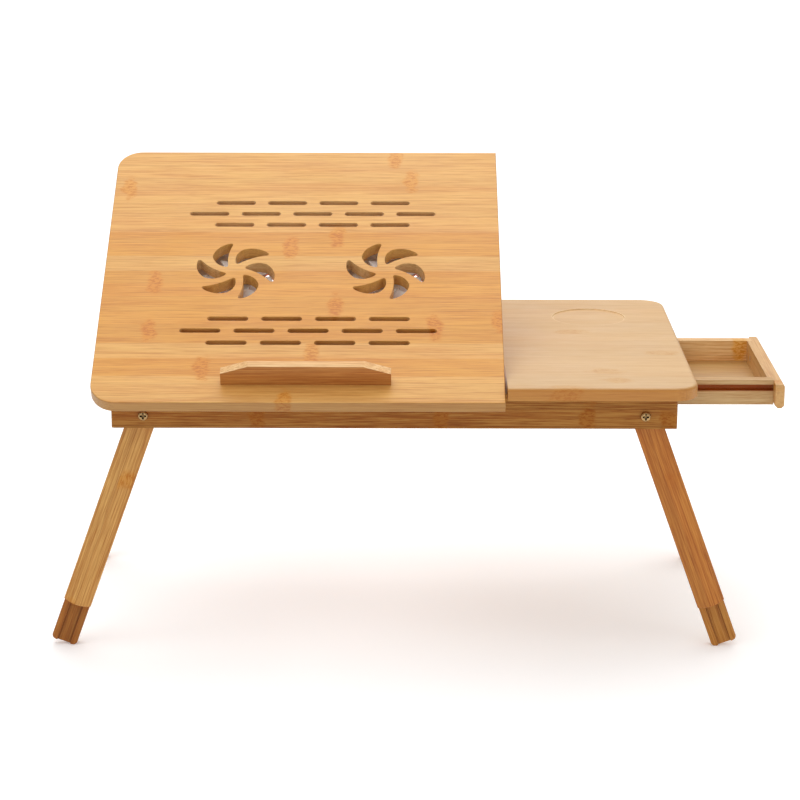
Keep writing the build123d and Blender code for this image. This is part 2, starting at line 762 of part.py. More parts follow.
with BuildPart() as drawer_face:
    face_top = box_top - face_drop
    face_middle_z = face_top - face_height / 2
    with BuildSketch(Plane((box_outer, box_y, face_middle_z), x_dir=(0, 1, 0), z_dir=(1, 0, 0))):
        Rectangle(face_width, face_height)
    extrude(amount=face_thickness)
    low_edges = drawer_face.edges().filter_by(Axis.Y).group_by(Axis.Z)[0]
    high_edges = drawer_face.edges().filter_by(Axis.Y).group_by(Axis.Z)[-1]
    chamfer(low_edges, face_bottom_chamfer)
    chamfer(high_edges.sort_by(Axis.X)[-1], face_top_chamfer)
    with BuildSketch(Plane((box_outer, box_y, screw_z), x_dir=(0, 1, 0), z_dir=(1, 0, 0))):
        with GridLocations(drawer_screw_spacing, 1, 2, 1):
            Circle(drawer_screw_diameter / 2)
    extrude(amount=drawer_screw_length - drawer_front, mode=Mode.SUBTRACT)
save(drawer_face, "drawer_face")


def leg_plane(side, end, depth):
    """Plane at a leg's pivot, a depth in from the rail, with x down the leg and z into the desk."""
    return Plane(
        origin=(mid_x + side * pivot_x, mid_y + end * (rail_inner - depth), pivot_z),
        x_dir=(side * sin(leg_splay), 0, -cos(leg_splay)),
        z_dir=(0, -end, 0),
    )


upper_inner = washer_thickness + upper_leg_thickness
tongue_depth = groove_depth - tongue_play
tongue_end = upper_leg_length - tongue_end_gap
insert_start = upper_inner + tongue_depth - insert_length
lower_outer = upper_inner + leg_play
slot_reach = leg_travel + stud_diameter / 2 + stud_slot_play + slot_end_wall
lower_leg_length = foot_reach - clamp_reach + slot_reach
knob_face = leg_depth + leg_play

for side_name, side in (("left", -1), ("right", 1)):
    for end_name, end in (("front", -1), ("rear", 1)):
        leg_name = f"{side_name}_{end_name}"
        with BuildPart() as upper_leg:
            with BuildSketch(leg_plane(side, end, washer_thickness)):
                with BuildLine():
                    ThreePointArc((0, half_leg), (-half_leg, 0), (0, -half_leg))
                    Line((0, -half_leg), (upper_leg_length, -half_leg))
                    ThreePointArc(
                        (upper_leg_length, -half_leg),
                        (upper_leg_length + upper_leg_bow, 0),
                        (upper_leg_length, half_leg),
                    )
                    Line((upper_leg_length, half_leg), (0, half_leg))
                make_face()
            extrude(amount=upper_leg_thickness)
            outer_face = upper_leg.faces().sort_by(Axis.Y)[0 if end < 0 else -1]
            fillet(outer_face.edges(), leg_edge_round)
            with BuildSketch(leg_plane(side, end, upper_inner)):
                with Locations((tongue_end - tongue_length / 2, 0)):
                    Rectangle(tongue_length, groove_width - 2 * tongue_play)
            extrude(amount=tongue_depth)
            with BuildSketch(leg_plane(side, end, washer_thickness)):
                Circle(pivot_diameter / 2 + pivot_clearance)
            extrude(amount=upper_leg_thickness, mode=Mode.SUBTRACT)
            with BuildSketch(leg_plane(side, end, insert_start)):
                with Locations((clamp_reach, 0)):
                    Circle(insert_diameter / 2)
            extrude(amount=insert_length, mode=Mode.SUBTRACT)
        save(upper_leg, f"upper_leg_{leg_name}")
        with BuildPart() as leg_insert:
            with BuildSketch(leg_plane(side, end, insert_start)):
                with Locations((clamp_reach, 0)):
                    Circle(insert_diameter / 2)
                    Circle(stud_diameter / 2 + pivot_clearance, mode=Mode.SUBTRACT)
            extrude(amount=insert_length)
        save(leg_insert, f"leg_insert_{leg_name}")
        with BuildPart() as lower_leg:
            with BuildSketch(leg_plane(side, end, lower_outer)):
                with Locations((foot_reach - lower_leg_length / 2, 0)):
                    RectangleRounded(lower_leg_length, lower_leg_width, foot_round)
            extrude(amount=lower_leg_thickness)
            leg_faces = lower_leg.faces().sort_by(Axis.Y)
            fillet(leg_faces[0].edges() + leg_faces[-1].edges(), leg_edge_round)
            with BuildSketch(leg_plane(side, end, lower_outer)):
                with Locations((foot_reach - lower_leg_length / 2, 0)):
                    Rectangle(lower_leg_length, groove_width)
            extrude(amount=groove_depth, mode=Mode.SUBTRACT)
            with BuildSketch(leg_plane(side, end, lower_outer)):
                slot_span = 2 * leg_travel + stud_diameter + 2 * stud_slot_play
                with Locations((clamp_reach, 0)):
                    SlotOverall(slot_span, stud_diameter + 2 * stud_slot_play)
            extrude(amount=lower_leg_thickness, mode=Mode.SUBTRACT)
        save(lower_leg, f"lower_leg_{leg_name}")
        with BuildPart() as clamp_knob:
            with BuildSketch(leg_plane(side, end, knob_face)):
                with Locations((clamp_reach, 0)):
                    Circle(knob_flange_diameter / 2)
            extrude(amount=knob_flange_thickness)
            with BuildSketch(leg_plane(side, end, knob_face + knob_flange_thickness)):
                with Locations((clamp_reach, 0)):
                    Circle(knob_core_diameter / 2)
                    with PolarLocations(knob_core_diameter / 2, knob_lobes):
                        Circle(knob_lobe_diameter / 2)
            extrude(amount=knob_thickness)
            grip_face = clamp_knob.faces().sort_by(Axis.Y)[-1 if end < 0 else 0]
            fillet(grip_face.edges(), knob_edge_round)
            with BuildSketch(leg_plane(side, end, insert_start + stud_diameter / 2)):
                with Locations((clamp_reach, 0)):
                    Circle(stud_diameter / 2)
            extrude(amount=knob_face - insert_start - stud_diameter / 2)
        save(clamp_knob, f"clamp_knob_{leg_name}")

# Pivot bolts with domed cross-slot heads, and the washers and nuts inside the frame
shank_length = rail_thickness + upper_inner + leg_play + nut_thickness
with BuildPart() as pivot_bolts:
    for side in (-1, 1):
        for end in (-1, 1):
            rail_front = facing(end, mid_x + side * pivot_x, mid_y + end * frame_depth / 2, pivot_z)
            with BuildSketch(rail_front):
                Circle(pivot_head_diameter / 2)
            extrude(amount=pivot_head_height)
            head_faces = pivot_bolts.faces().group_by(Axis.Y)[0 if end < 0 else -1]
            head_face = head_faces.sort_by(Axis.X)[0 if side < 0 else -1]
            fillet(head_face.edges(), pivot_head_round)
            with BuildSketch(rail_front.offset(pivot_head_height)):
                Rectangle(pivot_cross_length, pivot_cross_width)
                Rectangle(pivot_cross_width, pivot_cross_length)
                RegularPolygon(pivot_cross_middle, 4)
            extrude(amount=-pivot_cross_depth, mode=Mode.SUBTRACT)
            with BuildSketch(rail_front):
                Circle(pivot_diameter / 2)
            extrude(amount=-shank_length)
save(pivot_bolts, "pivot_bolts")

with BuildPart() as pivot_washers:
    for side in (-1, 1):
        for end in (-1, 1):
            with BuildSketch(leg_plane(side, end, 0)):
                Circle(washer_diameter / 2)
                Circle(pivot_diameter / 2 + pivot_clearance, mode=Mode.SUBTRACT)
            extrude(amount=washer_thickness)
save(pivot_washers, "pivot_washers")

with BuildPart() as pivot_nuts:
    for side in (-1, 1):
        for end in (-1, 1):
            with BuildSketch(leg_plane(side, end, upper_inner + leg_play)):
                RegularPolygon(nut_width / 2, 6, major_radius=False)
                Circle(pivot_diameter / 2 + pivot_clearance, mode=Mode.SUBTRACT)
            extrude(amount=nut_thickness)
save(pivot_nuts, "pivot_nuts")

# Moulded housing of the fan unit: ring grilles, corner posts and a pocket for the lead
housing_face = board_plane.offset(under_n - housing_depth)
housing_middle = (pattern_x, pattern_s)
lead_n = under_n - housing_wall - pocket_rib_height - tie_clearance - lead_diameter / 2
half_coil = coil_straight / 2
lead_entry_s = -(half_coil + coil_radius + coil_pitch / 4)
with BuildPart() as fan_housing:
    with BuildSketch(housing_face):
        with Locations(housing_middle):
            RectangleRounded(housing_length, housing_width, housing_corner)
    extrude(amount=housing_depth)
    face_axis = Axis(board_plane.origin, board_plane.z_dir)
    fillet(fan_housing.faces().sort_by(face_axis)[0].edges(), housing_face_round)
    with BuildSketch(housing_face.offset(housing_wall)):
        with Locations(housing_middle):
            RectangleRounded(
                housing_length - 2 * housing_wall,
                housing_width - 2 * housing_wall,
                housing_corner - housing_wall,
            )
            RectangleRounded(
                pocket_length + 2 * housing_wall,
                pocket_width + 2 * housing_wall,
                pocket_corner + housing_wall,
                mode=Mode.SUBTRACT,
            )
            with GridLocations(screw_span_x, screw_span_s, 2, 2):
                Circle(housing_post_diameter / 2, mode=Mode.SUBTRACT)
    extrude(amount=housing_depth - housing_wall, mode=Mode.SUBTRACT)
    with BuildSketch(housing_face):
        with Locations(housing_middle):
            RectangleRounded(pocket_length, pocket_width, pocket_corner)
    extrude(amount=housing_depth - housing_wall, mode=Mode.SUBTRACT)
    with BuildSketch(board_plane.offset(under_n - housing_wall)):
        rib_length = (pocket_length - plug_width) / 2 - pocket_rib_width
        for side in (-1, 1):
            rib_x = pattern_x + side * (pocket_length - rib_length) / 2
            with Locations((rib_x, pattern_s)):
                with GridLocations(1, pocket_rib_spacing, 1, 2):
                    Rectangle(rib_length, pocket_rib_width)
    extrude(amount=-pocket_rib_height)
    gland_plane = Plane(
        origin=on_board(pattern_x + pocket_length / 2, pattern_s + lead_entry_s, lead_n),
        x_dir=board_plane.y_dir,
        z_dir=(1, 0, 0),
    )
    with BuildSketch(gland_plane):
        Circle(gland_diameter / 2)
    extrude(amount=-gland_length)
    with BuildSketch(housing_face):
        for fan_x in fan_places:
            with Locations((fan_x, pattern_s)):
                for inner, outer in reversed(grille_rows):
                    Circle(outer)
                    Circle(inner, mode=Mode.SUBTRACT)
                for spoke_angle in (45, 135):
                    Rectangle(rotor_diameter + housing_screw_inset, grille_spoke_width,
                              rotation=spoke_angle, mode=Mode.SUBTRACT)
    extrude(amount=housing_wall, mode=Mode.SUBTRACT)
    with BuildSketch(housing_face):
        with Locations(housing_middle):
            with GridLocations(screw_span_x, screw_span_s, 2, 2):
                Circle(housing_screw_diameter / 2 + screw_clearance)
    extrude(amount=housing_depth, mode=Mode.SUBTRACT)
save(fan_housing, "fan_housing")

with BuildPart() as housing_screws:
    for x_side in (-1, 1):
        for s_side in (-1, 1):
            screw_x = pattern_x + x_side * screw_span_x / 2
            screw_s = pattern_s + s_side * screw_span_s / 2
            with BuildSketch(housing_face):
                with Locations((screw_x, screw_s)):
                    Circle(housing_screw_head_diameter / 2)
            extrude(amount=-housing_screw_head_height)
            with BuildSketch(housing_face):
                with Locations((screw_x, screw_s)):
                    Circle(housing_screw_diameter / 2)
            extrude(amount=housing_depth + housing_screw_bite)
save(housing_screws, "housing_screws")

# Round foil caps on the grilles' middle discs
with BuildPart() as fan_caps:
    with BuildSketch(housing_face):
        for fan_x in fan_places:
            with Locations((fan_x, pattern_s)):
                Circle(fan_cap_diameter / 2)
    extrude(amount=-fan_cap_thickness)
save(fan_caps, "fan_caps")

# Motor stators with their spindles, fixed on the grilles' middle discs
stator_plane = housing_face.offset(housing_wall)
with BuildPart() as fan_stators:
    for fan_x in fan_places:
        with BuildSketch(stator_plane):
            with Locations((fan_x, pattern_s)):
                Circle(stator_diameter / 2)
        extrude(amount=stator_height)
        with BuildSketch(stator_plane.offset(stator_height)):
            with Locations((fan_x, pattern_s)):
                Circle(spindle_diameter / 2)
        extrude(amount=spindle_length)
save(fan_stators, "fan_stators")

# Rotors: a hub with twisted blades
hub_radius = rotor_hub_diameter / 2
for fan_name, fan_x in zip(("left", "right"), fan_places):
    rotor_plane = Plane(
        origin=stator_plane.from_local_coords(Vector(fan_x, pattern_s, stator_height + rotor_gap)),
        x_dir=(1, 0, 0),
        z_dir=stator_plane.z_dir,
    )
    with BuildPart() as fan_rotor:
        with BuildSketch(rotor_plane):
            Circle(hub_radius)
        extrude(amount=rotor_hub_height)
        for blade in range(blade_count):
            turn = radians(360 / blade_count * blade)
            blade_plane = Plane(
                origin=rotor_plane.origin,
                x_dir=rotor_plane.x_dir * cos(turn) + rotor_plane.y_dir * sin(turn),
                z_dir=rotor_plane.z_dir,
            )
            for radius, chord, pitch in (
                (hub_radius - blade_thickness, blade_root_chord, blade_root_pitch),
                (rotor_diameter / 2, blade_tip_chord, blade_tip_pitch),
            ):
                section = Plane(
                    origin=blade_plane.from_local_coords(Vector(radius, 0, rotor_hub_height / 2)),
                    x_dir=blade_plane.y_dir,
                    z_dir=blade_plane.x_dir,
                )
                with BuildSketch(section):
                    Rectangle(chord, blade_thickness, rotation=pitch)
            loft(ruled=True)
        with BuildSketch(rotor_plane):
            Circle(spindle_diameter / 2 + spindle_clearance)
        extrude(amount=spindle_length - rotor_gap + spindle_clearance, mode=Mode.SUBTRACT)
    save(fan_rotor, f"fan_rotor_{fan_name}")

# Lead: a flat coil of long loops, spiralling in from the gland to the plug in the middle
lead_plane = Plane(
    origin=on_board(pattern_x, pattern_s, lead_n),
    x_dir=(1, 0, 0),
    z_dir=board_plane.z_dir,
)
with BuildPart() as usb_coil:
    with BuildLine(lead_plane) as lead_route:
        first_radius = coil_radius + coil_pitch / 4
        Line((pocket_length / 2 - gland_length, lead_entry_s), (coil_pitch / 4, lead_entry_s))
        CenterArc((coil_pitch / 4, -half_coil), first_radius, -90, -90)
        for turn in range(coil_half_turns):
            here = coil_radius - turn * coil_pitch / 2
            there = here - coil_pitch / 2
            flip = -1 if turn % 2 else 1
            Line((-flip * here, -flip * half_coil), (-flip * here, flip * half_coil))
            ThreePointArc(
                (-flip * here, flip * half_coil),
                (flip * (there - here) / 2, flip * (half_coil + (here + there) / 2)),
                (flip * there, flip * half_coil),
            )
        inner = coil_radius - coil_half_turns * coil_pitch / 2
        Line((-inner, -half_coil), (-inner, half_coil))
        ThreePointArc((-inner, half_coil), (-inner / 2, half_coil + inner / 2), (0, half_coil))
        Line((0, half_coil), (0, half_coil - lead_diameter))
    with BuildSketch(Plane(origin=lead_route.line @ 0, z_dir=lead_route.line % 0)):
        Circle(lead_diameter / 2)
    sweep()
save(usb_coil, "usb_coil")
lead_wire = lead_route.wires()[0]
lead_length = lead_wire.length
samples = [lead_wire @ (step / lead_samples) for step in range(lead_samples + 1)]
apart = int(3 * lead_diameter / (lead_length / lead_samples)) + 1
self_gap = min(
    (samples[b] - samples[a]).length
    for a in range(len(samples))
    for b in range(a + apart, len(samples))
) - lead_diameter
print("lead length", round(lead_length, 1), "least gap to itself", round(self_gap, 2))

# Plug in the middle of the coil: a moulded grip with its tongue, and the metal shell round it
plug_plane = Plane(
    origin=on_board(pattern_x, pattern_s + half_coil - lead_diameter, lead_n),
    x_dir=(1, 0, 0),
    z_dir=-board_plane.y_dir,
)
with BuildPart() as usb_plug_grip:
    with BuildSketch(plug_plane):
        RectangleRounded(plug_width, plug_height, plug_round)
    extrude(amount=plug_length)
    with BuildSketch(plug_plane.offset(plug_length)):
        with Locations((0, -plug_tongue_height / 2)):
            Rectangle(plug_tongue_width, plug_tongue_height)
    extrude(amount=shell_length - 2 * shell_wall)
save(usb_plug_grip, "usb_plug_grip")

with BuildPart() as usb_plug_shell:
    with BuildSketch(plug_plane.offset(plug_length)):
        Rectangle(shell_width, shell_height)
        Rectangle(shell_width - 2 * shell_wall, shell_height - 2 * shell_wall, mode=Mode.SUBTRACT)
    extrude(amount=shell_length)
    with BuildSketch(lead_plane):
        window_s = half_coil - lead_diameter - plug_length - shell_length / 2
        with Locations((0, window_s)):
            with GridLocations(shell_window_spacing, 1, 2, 1):
                Rectangle(shell_window, shell_window)
    extrude(amount=shell_height, both=True, mode=Mode.SUBTRACT)
save(usb_plug_shell, "usb_plug_shell")

# Tie round the left side of the coil, with its head and tail
tie_middle = -(coil_radius + inner) / 2
tie_room_x = coil_radius - inner + lead_diameter + 2 * tie_clearance
tie_room_n = lead_diameter + 2 * tie_clearance
with BuildPart() as cable_tie:
    tie_plane = Plane(
        origin=on_board(pattern_x + tie_middle, pattern_s, lead_n),
        x_dir=(1, 0, 0),
        z_dir=board_plane.y_dir,
    )
    with BuildSketch(tie_plane):
        RectangleRounded(tie_room_x + 2 * tie_thickness, tie_room_n + 2 * tie_thickness, 2 * tie_thickness)
        RectangleRounded(tie_room_x, tie_room_n, tie_thickness, mode=Mode.SUBTRACT)
    extrude(amount=tie_width / 2, both=True)
    head_n = lead_n - tie_room_n / 2 - tie_thickness / 2
    with BuildSketch(board_plane.offset(head_n)):
        with Locations((pattern_x + tie_middle, pattern_s)):
            Rectangle(tie_head, tie_head)
    extrude(amount=-tie_head_height)
    with BuildSketch(board_plane.offset(head_n - tie_thickness)):
        with Locations((pattern_x + tie_middle, pattern_s - coil_straight / 2)):
            Rectangle(tie_width, coil_straight)
    extrude(amount=-tie_thickness)
save(cable_tie, "cable_tie")
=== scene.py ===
import json
from math import cos, radians, sin

import bpy
from mathutils import Matrix, Vector


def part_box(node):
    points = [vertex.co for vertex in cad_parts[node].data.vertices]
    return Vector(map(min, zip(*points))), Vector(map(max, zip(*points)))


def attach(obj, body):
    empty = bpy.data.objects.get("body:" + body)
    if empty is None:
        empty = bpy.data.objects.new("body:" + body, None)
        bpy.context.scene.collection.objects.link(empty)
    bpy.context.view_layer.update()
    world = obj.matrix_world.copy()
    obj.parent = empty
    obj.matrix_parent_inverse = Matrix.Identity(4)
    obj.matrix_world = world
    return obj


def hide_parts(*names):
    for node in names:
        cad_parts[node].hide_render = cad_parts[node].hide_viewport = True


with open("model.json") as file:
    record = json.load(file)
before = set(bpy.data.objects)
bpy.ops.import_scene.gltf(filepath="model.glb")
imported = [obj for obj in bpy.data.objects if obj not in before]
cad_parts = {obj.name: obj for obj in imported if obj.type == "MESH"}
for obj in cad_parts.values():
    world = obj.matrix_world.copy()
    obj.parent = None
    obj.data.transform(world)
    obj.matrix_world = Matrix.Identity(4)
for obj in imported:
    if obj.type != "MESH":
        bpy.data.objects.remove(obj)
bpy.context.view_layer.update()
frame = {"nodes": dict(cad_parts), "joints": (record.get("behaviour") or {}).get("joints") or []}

# Looks of the laptop desk. Lengths are in metres, in the frame's own directions.
nodes = frame["nodes"]
joints = {joint["name"]: joint for joint in frame["joints"]}
MM = 0.001
SIDES = ("left", "right")
ENDS = ("front", "rear")

RIGHT = Vector((1, 0, 0))
BACK = Vector((0, 1, 0))
UP = Vector((0, 0, 1))

# The tilting board's hinge and own directions, and the fans under it
board_hinge = Vector(joints["board_tilt"]["pos_m"])
board_normal = Vector(joints["fan_left_spin"]["axis"])
board_back = board_normal.cross(RIGHT)
fan_places = [Vector(joints[f"fan_{side}_spin"]["pos_m"]) for side in SIDES]


# Short forms for building shader node trees


def add_node(tree, kind, inputs=None, **settings):
    """New shader node with its settings, and its inputs as values or as links."""
    made = tree.nodes.new(kind)
    for name, value in settings.items():
        setattr(made, name, value)
    for name, value in (inputs or {}).items():
        if isinstance(value, bpy.types.NodeSocket):
            tree.links.new(value, made.inputs[name])
        else:
            made.inputs[name].default_value = value
    return made


def set_inputs(shader, values):
    """Give inputs of a shader their values."""
    for name, value in values.items():
        shader.inputs[name].default_value = value


def calc(tree, operation, first, second=0.0):
    """Result of one arithmetic step."""
    return add_node(tree, "ShaderNodeMath", {0: first, 1: second}, operation=operation).outputs[0]


def vector_calc(tree, operation, first, second):
    """Result of one step with two vectors, which is a number for a dot product or a distance."""
    step = add_node(tree, "ShaderNodeVectorMath", {0: first, 1: second}, operation=operation)
    return step.outputs["Value" if operation in ("DOT_PRODUCT", "DISTANCE") else "Vector"]


def fade(tree, value, low, high, to_low=0.0, to_high=1.0):
    """Smooth step of a value between two limits."""
    step = add_node(
        tree,
        "ShaderNodeMapRange",
        {"Value": value, "From Min": low, "From Max": high, "To Min": to_low, "To Max": to_high},
        interpolation_type="SMOOTHSTEP",
    )
    return step.outputs[0]


def fall(tree, value, low, high):
    """Smooth step down from 1 to 0 between two limits."""
    return fade(tree, value, low, high, 1.0, 0.0)


def mix(tree, share, first, second, blend="MIX"):
    """Two colours mixed by a share from 0 to 1."""
    inputs = {0: share, 6: first, 7: second}
    return add_node(tree, "ShaderNodeMix", inputs, data_type="RGBA", blend_type=blend).outputs[2]


def multiplied(tree, share, base, factors):
    """Colour with its parts multiplied by three factors, as far as a share from 0 to 1 says."""
    return mix(tree, share, base, (*factors, 1.0), "MULTIPLY")


def noise(tree, place, scale=1.0, detail=3.0, roughness=0.55, distortion=0.0):
    """Soft noise at a place."""
    step = add_node(
        tree,
        "ShaderNodeTexNoise",
        {
            "Vector": place,
            "Scale": scale,
            "Detail": detail,
            "Roughness": roughness,
            "Distortion": distortion,
        },
    )
    return step.outputs[0]


def scatter(tree, value, seed):
    """Random number from 0 to 1 for each whole value."""
    shifted = calc(tree, "ADD", value, seed)
    step = add_node(tree, "ShaderNodeTexWhiteNoise", {"W": shifted}, noise_dimensions="1D")
    return step.outputs["Value"]


def stretched(tree, place, along, across, through):
    """Place scaled by a different factor in each direction."""
    return vector_calc(tree, "MULTIPLY", place, (along, across, through))


def shaken(tree, value, drift, amount):
    """Value moved up and down by soft noise, as far as an amount allows."""
    return calc(tree, "ADD", value, calc(tree, "MULTIPLY", calc(tree, "SUBTRACT", drift, 0.5), amount))


def size_along(tree, vector, direction):
    """Size of a vector's part along a direction, whichever way it points."""
    return calc(tree, "ABSOLUTE", vector_calc(tree, "DOT_PRODUCT", vector, direction))


def face_normal(tree):
    """Normal of a face in the directions of its piece."""
    return add_node(tree, "ShaderNodeTexCoord").outputs["Normal"]


def openness(tree, distance):
    """Share of open sky within a distance, from 1 on a broad face to 0 deep in a slot of the piece."""
    inputs = {"Distance": distance}
    return add_node(tree, "ShaderNodeAmbientOcclusion", inputs, samples=6, only_local=True).outputs["AO"]


def soft_edge(tree, radius, bump):
    """Normal that rounds sharp edges a little."""
    return add_node(tree, "ShaderNodeBevel", {"Radius": radius, "Normal": bump}, samples=4).outputs[0]


def raised(tree, height, distance, strength):
    """Normal from a height."""
    inputs = {"Height": height, "Distance": distance, "Strength": strength}
    return add_node(tree, "ShaderNodeBump", inputs).outputs[0]


def new_material(name):
    """Empty node material: its tree, its main shader and its texture place."""
    material = bpy.data.materials.new(name)
    material.use_nodes = True
    tree = material.node_tree
    tree.nodes.clear()
    shader = add_node(tree, "ShaderNodeBsdfPrincipled")
    output = add_node(tree, "ShaderNodeOutputMaterial")
    tree.links.new(shader.outputs[0], output.inputs[0])
    place = add_node(tree, "ShaderNodeTexCoord").outputs["Object"]
    return material, tree, shader, place


def link_surface(tree, shader, base, gloss, normal):
    """Link colour, roughness and normal to a main shader."""
    tree.links.new(base, shader.inputs["Base Color"])
    tree.links.new(gloss, shader.inputs["Roughness"])
    tree.links.new(normal, shader.inputs["Normal"])


def colour(red, green, blue):
    """Linear colour from the usual 0 to 255 values."""
    parts = []
    for value in (red, green, blue):
        share = value / 255
        parts.append(share / 12.92 if share <= 0.04045 else ((share + 0.055) / 1.055) ** 2.4)
    return (*parts, 1.0)


def tinted(tone, red, green, blue):
    """Linear colour of a tone with each part scaled."""
    return colour(tone[0] * red, tone[1] * green, tone[2] * blue)


# Bamboo
WOOD_EDGE = 0.7 * MM
FIBRE_HEIGHT = 0.1 * MM
SEAM_REACH = 0.6 * MM
KNUCKLE_DRIFT = 20 * MM
BROWN_STEM = (0.934, 0.81, 0.50)
# Painted highlight on the rim of a round recess
RIM_HIGHLIGHT_TINT = (1.22, 1.36, 1.60)
SHIFT_RATIO = 3.7
TONE_SEED_STEP = 0.5
START_SEED_STEP = 31.5
STRIP_NUMBER_STEP = 17.0


def grain_places(tree, place, grain, across):
    """Place turned to the grain, and the same with a shift that differs from piece to piece."""
    turn = Matrix((grain, across, grain.cross(across))).to_euler()
    turned = add_node(tree, "ShaderNodeMapping", {"Vector": place, "Rotation": turn}).outputs[0]
    chance = add_node(tree, "ShaderNodeObjectInfo").outputs["Random"]
    second = calc(tree, "MULTIPLY", chance, SHIFT_RATIO)
    shift = add_node(tree, "ShaderNodeCombineXYZ", {0: chance, 1: second}).outputs[0]
    return turned, vector_calc(tree, "ADD", turned, shift)


def strip_tones(tree, tone, local, index, seed, contrast):
    """Colour of the strips, each of its own tone, with broad bands along them."""
    strip_tone = scatter(tree, index, seed + TONE_SEED_STEP)
    darker = 1 - 0.05 * contrast
    base = mix(tree, strip_tone, colour(*tone), tinted(tone, darker, darker, darker))
    band = noise(tree, stretched(tree, local, 3, 60, 60))
    share = fade(tree, band, 0.42, 0.68, 0.0, 0.55 * contrast)
    return mix(tree, share, base, tinted(tone, 0.93, 0.84, 0.72))


def fibres(tree, tone, base, local, hair, contrast):
    """Fibres over a colour, streaks and hairlines, first the pale ones and then the dark ones."""
    streak = noise(tree, stretched(tree, local, 10, 340, 340), roughness=0.6)
    for pattern, low, high, to_low, to_high, factors in (
        (streak, 0.34, 0.48, 0.16, 0.0, (1.04, 1.09, 1.16)),
        (hair, 0.36, 0.50, 0.50, 0.0, (1.05, 1.10, 1.18)),
        (streak, 0.53, 0.68, 0.0, 0.14, (0.84, 0.71, 0.55)),
        (hair, 0.50, 0.66, 0.0, 0.52, (0.80, 0.66, 0.48)),
    ):
        share = fade(tree, pattern, low, high, to_low * contrast, to_high * contrast)
        base = mix(tree, share, base, tinted(tone, *factors))
    return base


def strip_clouds(tree, along, index, drift, gap, seed):
    """Share of knuckles across each strip, a gap apart, with some of them left out."""
    waved = shaken(tree, along, drift, KNUCKLE_DRIFT)
    start = scatter(tree, index, seed + START_SEED_STEP)
    stage = calc(tree, "ADD", calc(tree, "DIVIDE", waved, gap), start)
    distance = calc(tree, "MULTIPLY", calc(tree, "PINGPONG", stage, 0.5), gap)
    first_number = calc(tree, "MULTIPLY", index, STRIP_NUMBER_STEP)
    number = calc(tree, "ADD", calc(tree, "ROUND", stage), first_number)
    present = fade(tree, scatter(tree, number, seed), 0.35, 0.8)
    return calc(tree, "MULTIPLY", fall(tree, distance, 1 * MM, 11 * MM), present)


def chosen_clouds(tree, turned, grain, across, drift, places, size):
    """Share of knuckles at chosen places, with their reach along and across the grain."""
    length, width = size
    scaled = stretched(tree, turned, 1 / length, 1 / width, 0)
    nearest = None
    for chosen in places:
        centre = (chosen.dot(grain) / length, chosen.dot(across) / width, 0)
        away = vector_calc(tree, "DISTANCE", scaled, centre)
        nearest = away if nearest is None else calc(tree, "MINIMUM", nearest, away)
    return fall(tree, shaken(tree, nearest, drift, 1.4), 0.5, 1.0)


def knuckles(tree, tone, base, local, cloud, strength):
    """Knuckles over a colour: soft red-brown clouds of short dashes."""
    dash = noise(tree, stretched(tree, local, 210, 620, 620), roughness=0.65, distortion=0.4)
    base = mix(tree, calc(tree, "MULTIPLY", cloud, 0.7 * strength), base, tinted(tone, 0.97, 0.89, 0.60))
    dashes = calc(tree, "MULTIPLY", cloud, fade(tree, dash, 0.48, 0.57, 0.0, 0.9 * strength))
    return mix(tree, dashes, base, tinted(tone, 0.87, 0.70, 0.30))


def brown_groups(tree, base, turned, groups):
    """Groups of strips from browner stems, each between two places across the grain."""
    over = add_node(tree, "ShaderNodeSeparateXYZ", {0: turned}).outputs[1]
    for low, high in groups:
        after = fade(tree, over, low - 1 * MM, low + 1 * MM)
        before = fall(tree, over, high - 1 * MM, high + 1 * MM)
        base = multiplied(tree, calc(tree, "MULTIPLY", after, before), base, BROWN_STEM)
    return base


def cut_sides(tree, base, place, through, side_shade_tint, ring):
    """Painted shade, partly darker edge grain, on faces that look away from the broad ones, and a painted
    highlight round a recess.
    """
    side_shade = fall(tree, size_along(tree, face_normal(tree), through), 0.45, 0.95)
    if ring:
        centre, radius = ring
        apart = calc(tree, "SUBTRACT", vector_calc(tree, "DISTANCE", place, centre), radius)
        # Painted highlight round the rim of the recess
        rim = fall(tree, calc(tree, "ABSOLUTE", apart), 0.4 * MM, 1.5 * MM)
        base = multiplied(tree, rim, base, RIM_HIGHLIGHT_TINT)
        # No painted shade on the wall of the recess
        side_shade = calc(tree, "MULTIPLY", side_shade, fade(tree, apart, 1 * MM, 3 * MM))
    return multiplied(tree, side_shade, base, side_shade_tint)


def hollows(tree, base, hollow_shading_tint, reach, start, slot_shade_tint):
    """Painted shading of hollows, which starts below a share of open sky, and further painted shade deep
    in slots.
    """
    open_sky = openness(tree, reach)
    hollow_shading = fall(tree, open_sky, start, max(0.9, start + 0.35))
    base = multiplied(tree, hollow_shading, base, hollow_shading_tint)
    if slot_shade_tint:
        base = multiplied(tree, fall(tree, open_sky, 0.28, 0.5), base, slot_shade_tint)
    return base


